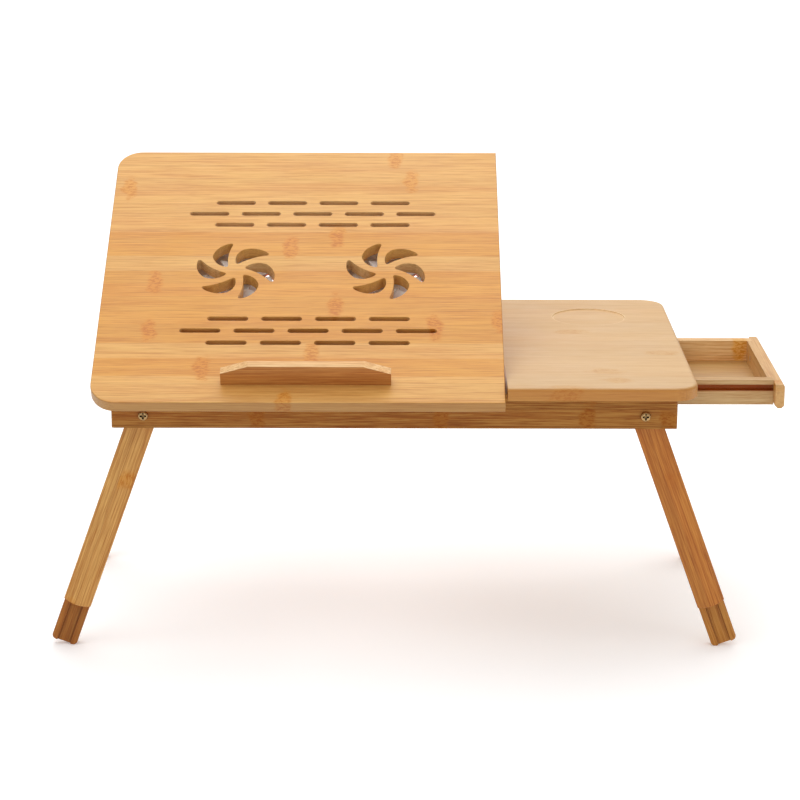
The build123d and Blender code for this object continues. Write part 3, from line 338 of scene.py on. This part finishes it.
def bamboo(
    name,
    tone,
    grain,
    across,
    *,
    seed,
    strip=19 * MM,
    contrast=1.0,
    knuckle_strength=1.0,
    knuckle_gap=0.27,
    knuckle_places=(),
    knuckle_size=(9 * MM, 19 * MM),
    side_shade_tint=(1, 1, 1),
    hollow_shading_tint=(1, 1, 1),
    hollow_reach=8 * MM,
    hollow_from=0.35,
    slot_shade_tint=None,
    browner=(),
    ring=None,
    shine=0.40,
):
    """Laminated bamboo: strips with fine fibres, faint seams and brown knuckles, under satin varnish.

    grain and across lie in a broad face, and strip is the width of a strip. Knuckles cross the strips at
    random, or lie at knuckle_places alone. browner holds pairs of places across the grain, and the strips
    between each pair are browner. ring is the middle and the radius of a round recess, whose rim gets a
    painted highlight. The side tint paints shade on cut sides, partly their own darker edge grain; the
    hollow tint paints light where it is above 1 and shade where it is below; the slot tint paints shade
    deep in slots.
    """
    material, tree, shader, place = new_material(name)
    grain = grain.normalized()
    across = across.normalized()
    turned, local = grain_places(tree, place, grain, across)
    parts = add_node(tree, "ShaderNodeSeparateXYZ", {0: local})
    along, over = parts.outputs[0], parts.outputs[1]
    strips = calc(tree, "DIVIDE", over, strip)
    index = calc(tree, "FLOOR", strips)

    # Strips, fibres and knuckles
    base = strip_tones(tree, tone, local, index, seed, contrast)
    hair = noise(tree, stretched(tree, local, 20, 900, 900), roughness=0.75)
    base = fibres(tree, tone, base, local, hair, contrast)
    drift = noise(tree, stretched(tree, local, 55, 120, 120), detail=2.0)
    if knuckle_places:
        cloud = chosen_clouds(tree, turned, grain, across, drift, knuckle_places, knuckle_size)
    else:
        cloud = strip_clouds(tree, along, index, drift, knuckle_gap, seed)
    base = knuckles(tree, tone, base, local, cloud, knuckle_strength)

    # Glue lines between the strips
    seam_distance = calc(tree, "MULTIPLY", calc(tree, "PINGPONG", strips, 0.5), strip)
    seam = fade(tree, seam_distance, 0.0, SEAM_REACH, 0.22 * contrast, 0.0)
    base = mix(tree, seam, base, tinted(tone, 0.66, 0.5, 0.36))

    # Other tones of some strips, painted shade on cut sides and painted shading in hollows
    if browner:
        base = brown_groups(tree, base, turned, browner)
    base = cut_sides(tree, base, place, grain.cross(across), side_shade_tint, ring)
    base = hollows(tree, base, hollow_shading_tint, hollow_reach, hollow_from, slot_shade_tint)

    # Varnish, a little worn where hands rub it
    rub = noise(tree, place, 14.0)
    gloss = calc(tree, "ADD", fade(tree, rub, 0.3, 0.7, 0.34, 0.46), calc(tree, "MULTIPLY", hair, 0.10))
    height = calc(tree, "SUBTRACT", hair, calc(tree, "MULTIPLY", seam, 2.0))
    bump = raised(tree, height, FIBRE_HEIGHT, 0.5)
    link_surface(tree, shader, base, gloss, soft_edge(tree, WOOD_EDGE, bump))
    set_inputs(shader, {"Specular IOR Level": shine, "Coat Weight": 0.3 * shine, "Coat Roughness": 0.24})
    return material


# Metal
METAL_EDGE = 0.25 * MM
BRUSHING_HEIGHT = 0.03 * MM
# Colour of the painted shade in the hollows of metal
METAL_HOLLOW_SHADE = (0.03, 0.02, 0.01)


def metal(name, tone, roughness, brushed=(1, 1, 1), wear=0.12, hollow_reach=1.5 * MM):
    """Metal with fine brushing or cast grain, slightly uneven gloss and painted shade in its hollows."""
    material, tree, shader, place = new_material(name)
    lines = noise(tree, stretched(tree, place, *[900 * factor for factor in brushed]), roughness=0.7)
    tarnish = fade(tree, noise(tree, place, 160.0, detail=2.0), 0.4, 0.75, 0.0, 0.45)
    base = mix(tree, tarnish, colour(*tone), tinted(tone, 0.7, 0.7, 0.7))
    # Painted shade in hollows
    hollow_shading = fall(tree, openness(tree, hollow_reach), 0.3, 0.85)
    base = multiplied(tree, hollow_shading, base, METAL_HOLLOW_SHADE)
    gloss = calc(tree, "ADD", calc(tree, "MULTIPLY", lines, wear), roughness)
    gloss = calc(tree, "ADD", gloss, calc(tree, "MULTIPLY", tarnish, 0.2))
    bump = raised(tree, lines, BRUSHING_HEIGHT, 0.6)
    link_surface(tree, shader, base, gloss, soft_edge(tree, METAL_EDGE, bump))
    set_inputs(shader, {"Metallic": 1.0})
    return material


# Plastic
PLASTIC_EDGE = 0.4 * MM

# Limits of the painted light on a fan chamber's walls from the fan's axis: towards a face, along the axis,
# and across
CHAMBER_FACING = (-20 * MM, -10 * MM)
CHAMBER_LEVEL = (-3.4 * MM, -2.8 * MM)
CHAMBER_ACROSS = (43.8 * MM, 44.3 * MM)


def lit_chamber_walls(tree, place, normal):
    """Share from 0 to 1 of painted light on faces above the grille that look towards their fan, up to the
    pocket's wall.
    """
    share = None
    for fan in fan_places:
        away = vector_calc(tree, "SUBTRACT", place, fan)
        inward = fall(tree, vector_calc(tree, "DOT_PRODUCT", away, normal), *CHAMBER_FACING)
        above = fade(tree, vector_calc(tree, "DOT_PRODUCT", away, board_normal), *CHAMBER_LEVEL)
        near = fall(tree, size_along(tree, away, RIGHT), *CHAMBER_ACROSS)
        here = calc(tree, "MULTIPLY", calc(tree, "MULTIPLY", inward, above), near)
        share = here if share is None else calc(tree, "MAXIMUM", share, here)
    return share


def plastic(name, tone, roughness, sheen=0.5, grain=0.04 * MM, soft=0.0, upper=None, chamber=False):
    """Moulded plastic: fine eroded grain, flow clouds and a little dust in its gloss.

    upper holds the tone of faces that look up from the board, and the limits of their slope between which
    it fades in; it paints light on the housing, and on the rotors the plastic's tone below it is painted
    shade.
    With chamber, the walls of the fan chambers get that painted light too.
    """
    material, tree, shader, place = new_material(name)
    cloud = noise(tree, place, 24.0)
    pits = noise(tree, place, 2600.0, detail=2.0, roughness=0.6)
    dust = noise(tree, place, 90.0, detail=4.0, roughness=0.7)
    darker = tinted(tone, 0.86, 0.86, 0.86)
    base = mix(tree, fade(tree, cloud, 0.35, 0.7, 0.0, 0.6), colour(*tone), darker)
    # Painted light on faces that look up from the board, and on the walls of the fan chambers
    if upper:
        normal = face_normal(tree)
        lit_tone, low, high = upper
        lit_share = fade(tree, vector_calc(tree, "DOT_PRODUCT", normal, board_normal), low, high)
        if chamber:
            lit_share = calc(tree, "MAXIMUM", lit_share, lit_chamber_walls(tree, place, normal))
        base = mix(tree, lit_share, base, colour(*lit_tone))
    gloss = fade(tree, dust, 0.35, 0.75, roughness, roughness + 0.14)
    link_surface(tree, shader, base, gloss, soft_edge(tree, PLASTIC_EDGE, raised(tree, pits, grain, 0.7)))
    set_inputs(
        shader,
        {
            "Specular IOR Level": sheen,
            "Subsurface Weight": soft,
            "Subsurface Radius": (1.0, 1.0, 1.0),
            "Subsurface Scale": 5 * MM,
        },
    )
    return material


def dress(material, *names):
    """Give CAD nodes a material."""
    for name in names:
        mesh = nodes[name].data
        mesh.materials.clear()
        mesh.materials.append(material)


# Tilting board, with its knuckles by x and by their way back from the hinge, and its browner strips, in mm
TILTING_KNUCKLES = (
    (-280, 272),
    (-3, 283),
    (-19, 318),
    (-246, 137),
    (-247, 71),
    (-195, 24),
    (-119, 186),
    (-75, 203),
    (-75, 105),
    (-95, 43),
    (18, 77),
    (78, 86),
    (-119, -21),
)
TILTING_BROWNER = ((12, 35), (55, 153), (174, 208))


def board_point(x, s):
    """Place in the tilting board from its x and its way back from the hinge, both in mm."""
    return Vector((x * MM, board_hinge.y, board_hinge.z)) + board_back * (s * MM)


hinge_back = board_hinge.dot(board_back)
dress(
    bamboo(
        "bamboo_tilting",
        (221, 165, 87),
        RIGHT,
        board_back,
        seed=3.0,
        knuckle_places=[board_point(x, s) for x, s in TILTING_KNUCKLES],
        # Painted shade on cut sides, partly their own darker edge grain; painted light on the walls of the
        # pinwheels and slots, partly their pale end grain; painted shade deep in the slots
        side_shade_tint=(0.61, 0.59, 0.58),
        hollow_shading_tint=(2.1, 2.8, 4.9),
        slot_shade_tint=(0.49, 0.37, 0.33),
        hollow_reach=30 * MM,
        hollow_from=0.55,
        browner=[(hinge_back + low * MM, hinge_back + high * MM) for low, high in TILTING_BROWNER],
    ),
    "tilting_board",
)
dress(
    bamboo(
        "bamboo_stop",
        (238, 192, 131),
        RIGHT,
        board_back,
        seed=5.0,
        strip=12 * MM,
        contrast=1.5,
        # Painted shade on the stop's front and ends, partly their own darker edge grain
        side_shade_tint=(0.56, 0.345, 0.155),
    ),
    "laptop_stop",
)

# Fixed top, with its knuckles by x and y in mm, and its cup recess by the way from the rear right corner
FIXED_KNUCKLES = ((151, 36), (235, -45), (176, -112), (184, -144), (136, -172), (60, -150))
CUP_RADIUS = 36 * MM
CUP_FROM_RIGHT = 81 * MM
CUP_FROM_REAR = 78 * MM
cup_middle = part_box("fixed_top")[1] - Vector((CUP_FROM_RIGHT, CUP_FROM_REAR, 0))
dress(
    bamboo(
        "bamboo_fixed",
        (206, 166, 112),
        RIGHT,
        BACK,
        seed=9.0,
        contrast=0.6,
        knuckle_strength=0.5,
        knuckle_places=[Vector((x * MM, y * MM, 0)) for x, y in FIXED_KNUCKLES],
        knuckle_size=(19 * MM, 12 * MM),
        # Painted shade on the edges of the top, partly their own darker edge grain, and a painted
        # highlight on the cup recess's rim
        side_shade_tint=(0.84, 0.59, 0.245),
        ring=(cup_middle, CUP_RADIUS),
    ),
    "fixed_top",
)

# Frame, with the knuckles of its long rails by x and z in mm
RAIL_TONE = (166, 112, 50)
RAIL_KNUCKLES = ((-144, 228), (23, 229), (157, 230), (231, 224))
dress(
    bamboo(
        "bamboo_rail",
        RAIL_TONE,
        RIGHT,
        UP,
        seed=14.0,
        strip=16 * MM,
        contrast=2.6,
        knuckle_places=[Vector((x * MM, 0, z * MM)) for x, z in RAIL_KNUCKLES],
        shine=0.12,
    ),
    "front_rail",
    "rear_rail",
)
end_rail = bamboo("bamboo_end", RAIL_TONE, BACK, UP, seed=15.0, strip=16 * MM, shine=0.12)
dress(end_rail, "left_end_rail", "right_end_rail", "divider")
rack = bamboo("bamboo_rack", (178, 122, 70), RIGHT, BACK, seed=16.0, strip=12 * MM)
dress(rack, "rack_rail", "prop_rack")
dowel = bamboo("bamboo_dowel", (200, 156, 104), BACK, UP, seed=17.0, strip=12 * MM)
dress(dowel, "frame_dowels")
ear = bamboo("bamboo_ear", (178, 124, 74), board_back, board_normal, seed=18.0, strip=12 * MM)
dress(ear, "prop_ears")

# Legs, each in its own direction
for side, leg_tone, foot_tone in (
    ("left", (205, 150, 78), (165, 105, 43)),
    ("right", (189, 119, 47), (187, 127, 57)),
):
    slide = Vector(joints[f"leg_slide_{side}_front"]["axis"])
    flank = slide.cross(BACK)
    leg = bamboo(
        f"bamboo_leg_{side}",
        leg_tone,
        slide,
        flank,
        seed=21.0,
        strip=13 * MM,
        knuckle_gap=0.21,
        contrast=1.7,
        shine=0.25,
    )
    foot = bamboo(
        f"bamboo_foot_{side}",
        foot_tone,
        slide,
        flank,
        seed=24.0,
        strip=13 * MM,
        knuckle_gap=0.21,
        contrast=1.3,
        # Painted shade in the groove of the foot
        hollow_shading_tint=(0.55, 0.42, 0.32),
        hollow_reach=4 * MM,
        shine=0.18,
    )
    for end in ENDS:
        dress(leg, f"upper_leg_{side}_{end}")
        dress(foot, f"lower_leg_{side}_{end}")

# Drawer and its runners, with the knuckle of each side by x and z in mm
# The rear side's paler tone is painted light on its broad faces, which lie in the drawer's shade, and its
# edge tint takes that back on its edges; the hollow tint paints shade in each side's groove
for end, side_tone, edge_shade_tint, knuckle_x, knuckle_z in (
    ("front", (200, 163, 113), (1, 1, 1), 130, 244),
    ("rear", (255, 210, 146), (0.74, 0.74, 0.78), 321, 246),
):
    side_board = bamboo(
        f"bamboo_drawer_{end}",
        side_tone,
        RIGHT,
        UP,
        seed=31.0,
        strip=14 * MM,
        contrast=1.3,
        knuckle_places=[Vector((knuckle_x * MM, 0, knuckle_z * MM))],
        side_shade_tint=edge_shade_tint,
        hollow_shading_tint=(0.72, 0.23, 0.01),
        hollow_reach=14 * MM,
        hollow_from=0.62,
        shine=0.15,
    )
    dress(side_board, f"drawer_side_{end}")
drawer_end = bamboo("bamboo_drawer_end", (209, 161, 98), BACK, UP, seed=32.0, strip=14 * MM)
dress(drawer_end, "drawer_back", "drawer_front", "drawer_face")
dress(bamboo("bamboo_drawer_floor", (180, 137, 78), RIGHT, BACK, seed=33.0), "drawer_bottom")
runner = bamboo("bamboo_runner", (150, 92, 46), RIGHT, UP, seed=34.0, strip=14 * MM)
dress(runner, "drawer_runner_front", "drawer_runner_rear")

# Prop, in its own direction from its pin to its foot
prop_pin = Vector(joints["prop_swing"]["pos_m"])
prop_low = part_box("prop_strip")[0]
prop_foot = Vector((prop_pin.x, prop_low.y, prop_low.z))
prop = bamboo("bamboo_prop", (196, 146, 92), prop_foot - prop_pin, RIGHT, seed=36.0, strip=12 * MM)
dress(prop, "prop_strip")

# Metal pieces
# Painted shade in the cross recesses of the bolt heads
dress(metal("brass_bolt", (178, 144, 98), 0.10, wear=0.05, hollow_reach=5 * MM), "pivot_bolts")
steel = metal("steel", (196, 196, 200), 0.30, brushed=(0.1, 1, 1))
dress(steel, "hinge_frame_leaves", "hinge_board_leaves", "hinge_pins", "pivot_washers", "pivot_nuts")
dress(steel, "stop_screws", "drawer_screws", "prop_hinge_pin", "usb_plug_shell")
dress(metal("dark_screw", (134, 48, 32), 0.42), "housing_screws")
dress(metal("gold_foil", (196, 152, 40), 0.38, wear=0.2), "fan_caps")

# Plastic and rubber pieces
# The housing is orange, with painted light in a pale tone on its inner faces that look up and on its fan
# chambers' walls
painted_light_above = ((250, 250, 249), 0.3, 0.6)
dress(plastic("orange_housing", (244, 126, 46), 0.36, upper=painted_light_above, chamber=True), "fan_housing")
# The rotors are white on top, and dark red-brown on the faces below as painted shade
white_above = ((252, 253, 253), -0.3, 0.0)
rotor_shaded_under = plastic("rotor_shaded_under", (150, 52, 28), 0.40, soft=0.6, upper=white_above)
dress(rotor_shaded_under, "fan_rotor_left", "fan_rotor_right")
dress(plastic("black_motor", (30, 30, 32), 0.40), "fan_stators")
black_grip = plastic("black_knob", (24, 24, 26), 0.42, grain=0.08 * MM)
dress(black_grip, "usb_plug_grip")
lead_rubber = plastic("lead_rubber", (20, 20, 22), 0.52, sheen=0.35)
dress(lead_rubber, "usb_coil")
dress(plastic("orange_tie", (236, 118, 44), 0.32, soft=0.1), "cable_tie")
for side in SIDES:
    for end in ENDS:
        dress(black_grip, f"clamp_knob_{side}_{end}")
        dress(steel, f"leg_insert_{side}_{end}")

# Lead of the fan unit, a smooth tube from the gland, round the coil and into the plug
LEAD_DIAMETER = 3 * MM
COIL_RADIUS = 21 * MM
COIL_PITCH = 3.6 * MM
COIL_STRAIGHT = 19 * MM
COIL_HALF_TURNS = 4
GLAND_X = 23.5 * MM
LEAD_OVER_FAN = 5.6 * MM
ARC_STEPS = 14
TUBE_STEPS = 6
pocket_middle = (fan_places[0] + fan_places[1]) / 2 + board_normal * LEAD_OVER_FAN


def lead_point(x, s):
    """Point of the lead from its place in the pocket, across and back along the board."""
    return pocket_middle + RIGHT * x + board_back * s


def arc(centre_x, centre_s, radius, start, end):
    """Points clockwise round an arc between two angles in degrees, and one straight on at each end."""
    angles = [radians(start + (end - start) * step / ARC_STEPS) for step in range(ARC_STEPS + 1)]
    points = [(centre_x + radius * cos(angle), centre_s + radius * sin(angle)) for angle in angles]
    step_length = radius * (angles[0] - angles[1])
    first_x, first_s = points[0]
    before = (first_x - step_length * sin(angles[0]), first_s + step_length * cos(angles[0]))
    last_x, last_s = points[-1]
    after = (last_x + step_length * sin(angles[-1]), last_s - step_length * cos(angles[-1]))
    return [before, *points, after]


def coil_route():
    """Places of the lead in the pocket: from the gland, inwards in half turns, and into the plug."""
    half_straight = COIL_STRAIGHT / 2
    first_radius = COIL_RADIUS + COIL_PITCH / 4
    route = [(GLAND_X, -half_straight - first_radius)]
    route += arc(COIL_PITCH / 4, -half_straight, first_radius, -90, -180)
    for turn in range(COIL_HALF_TURNS):
        reach = COIL_RADIUS - turn * COIL_PITCH / 2
        next_reach = reach - COIL_PITCH / 2
        side = -1 if turn % 2 else 1
        start = 0 if turn % 2 else 180
        middle = side * (next_reach - reach) / 2
        route += arc(middle, side * half_straight, (reach + next_reach) / 2, start, start - 180)
    inner = COIL_RADIUS - COIL_HALF_TURNS * COIL_PITCH / 2
    route += arc(-inner / 2, half_straight, inner / 2, 180, 0)
    route.append((0, half_straight - LEAD_DIAMETER))
    return route


def tube(name, path, diameter, material):
    """Smooth tube along a path."""
    curve = bpy.data.curves.new(name, "CURVE")
    curve.dimensions = "3D"
    curve.bevel_depth = diameter / 2
    curve.bevel_resolution = TUBE_STEPS
    curve.resolution_u = TUBE_STEPS
    curve.use_fill_caps = True
    curve.materials.append(material)
    spline = curve.splines.new("NURBS")
    spline.points.add(len(path) - 1)
    for point, place in zip(spline.points, path):
        point.co = (*place, 1)
    spline.order_u = 3
    spline.use_endpoint_u = True
    made = bpy.data.objects.new(name, curve)
    bpy.context.scene.collection.objects.link(made)
    return made


lead_path = [lead_point(*place) for place in coil_route()]
lead = tube("fan_lead", lead_path, LEAD_DIAMETER, lead_rubber)
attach(lead, "board")
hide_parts("usb_coil")

# Floor of white paper, with a little light of its own
FLOOR_SIZE = 14.0
FLOOR_PLACE = (0, 3, 0)
FLOOR_DARK = (0.94, 0.94, 0.94, 1)
FLOOR_PALE = (0.96, 0.96, 0.96, 1)
FLOOR_GLOW = 0.18
bpy.ops.mesh.primitive_plane_add(size=FLOOR_SIZE, location=FLOOR_PLACE)
floor = bpy.context.object
floor.name = "floor"
floor_material, floor_tree, floor_shader, floor_place = new_material("floor_paper")
floor_tone = mix(floor_tree, noise(floor_tree, floor_place, 1.5), FLOOR_DARK, FLOOR_PALE)
floor_tree.links.new(floor_tone, floor_shader.inputs["Base Color"])
set_inputs(
    floor_shader,
    {
        "Roughness": 0.75,
        "Specular IOR Level": 0.2,
        "Emission Color": (1.0, 1.0, 1.0, 1.0),
        "Emission Strength": FLOOR_GLOW,
    },
)
floor.data.materials.append(floor_material)

# Lights
DESK_MIDDLE = (0, 0, 0.2)
SKY_STRENGTH = 0.58


def area_light(name, place, target, size, power):
    """Soft light at a place, turned towards a target, with its width and length and its power."""
    light = bpy.data.lights.new(name, "AREA")
    light.shape = "RECTANGLE"
    light.size, light.size_y = size
    light.energy = power
    holder = bpy.data.objects.new(name, light)
    holder.location = place
    holder.rotation_euler = (Vector(target) - Vector(place)).to_track_quat("-Z", "Y").to_euler()
    bpy.context.scene.collection.objects.link(holder)


area_light("key", (-0.8, -0.9, 2.6), DESK_MIDDLE, size=(2.0, 2.0), power=22.0)
area_light("top", (0.3, 0.9, 2.6), DESK_MIDDLE, size=(2.2, 2.2), power=24.0)
area_light("fill", (1.9, -1.3, 1.4), DESK_MIDDLE, size=(1.6, 1.6), power=5.0)
area_light("backdrop", (0, 4.3, 3.0), (0, 4.3, 0), size=(4.0, 6.0), power=88.0)

world = bpy.data.worlds.new("studio")
bpy.context.scene.world = world
world.use_nodes = True
set_inputs(world.node_tree.nodes["Background"], {"Color": (1.0, 1.0, 1.0, 1.0), "Strength": SKY_STRENGTH})
bpy.context.scene.view_settings.view_transform = "Standard"

# Camera, fitted to the photograph's edges with the part's own sizes
FRAME_PIXELS = 800
FOCAL_PIXELS = 2450.9
AXIS_PIXEL_X = 400.2
AXIS_PIXEL_Y = 389.3
CAMERA_PLACE = Vector((-12.9, -2294.1, 846.4)) * MM
CAMERA_PITCH = 0.26807
CAMERA_YAW = -0.00058
CAMERA_ROLL = 0.00195
SENSOR_MM = 36.0
FARTHEST_SEEN = 50
forward = Vector(
    (
        sin(CAMERA_YAW) * cos(CAMERA_PITCH),
        cos(CAMERA_YAW) * cos(CAMERA_PITCH),
        -sin(CAMERA_PITCH),
    )
)
level = Vector((cos(CAMERA_YAW), -sin(CAMERA_YAW), 0))
upright = level.cross(forward)
camera_right = cos(CAMERA_ROLL) * level + sin(CAMERA_ROLL) * upright
camera_up = -sin(CAMERA_ROLL) * level + cos(CAMERA_ROLL) * upright
camera_data = bpy.data.cameras.new("photo_camera")
camera_data.sensor_width = SENSOR_MM
camera_data.lens = FOCAL_PIXELS * SENSOR_MM / FRAME_PIXELS
camera_data.shift_x = (FRAME_PIXELS / 2 - AXIS_PIXEL_X) / FRAME_PIXELS
camera_data.shift_y = (AXIS_PIXEL_Y - FRAME_PIXELS / 2) / FRAME_PIXELS
camera_data.clip_end = FARTHEST_SEEN
camera = bpy.data.objects.new("photo_camera", camera_data)
camera_turn = Matrix((camera_right, camera_up, -forward)).transposed().to_4x4()
camera.matrix_world = Matrix.Translation(CAMERA_PLACE) @ camera_turn
bpy.context.scene.collection.objects.link(camera)
bpy.context.scene.camera = camera
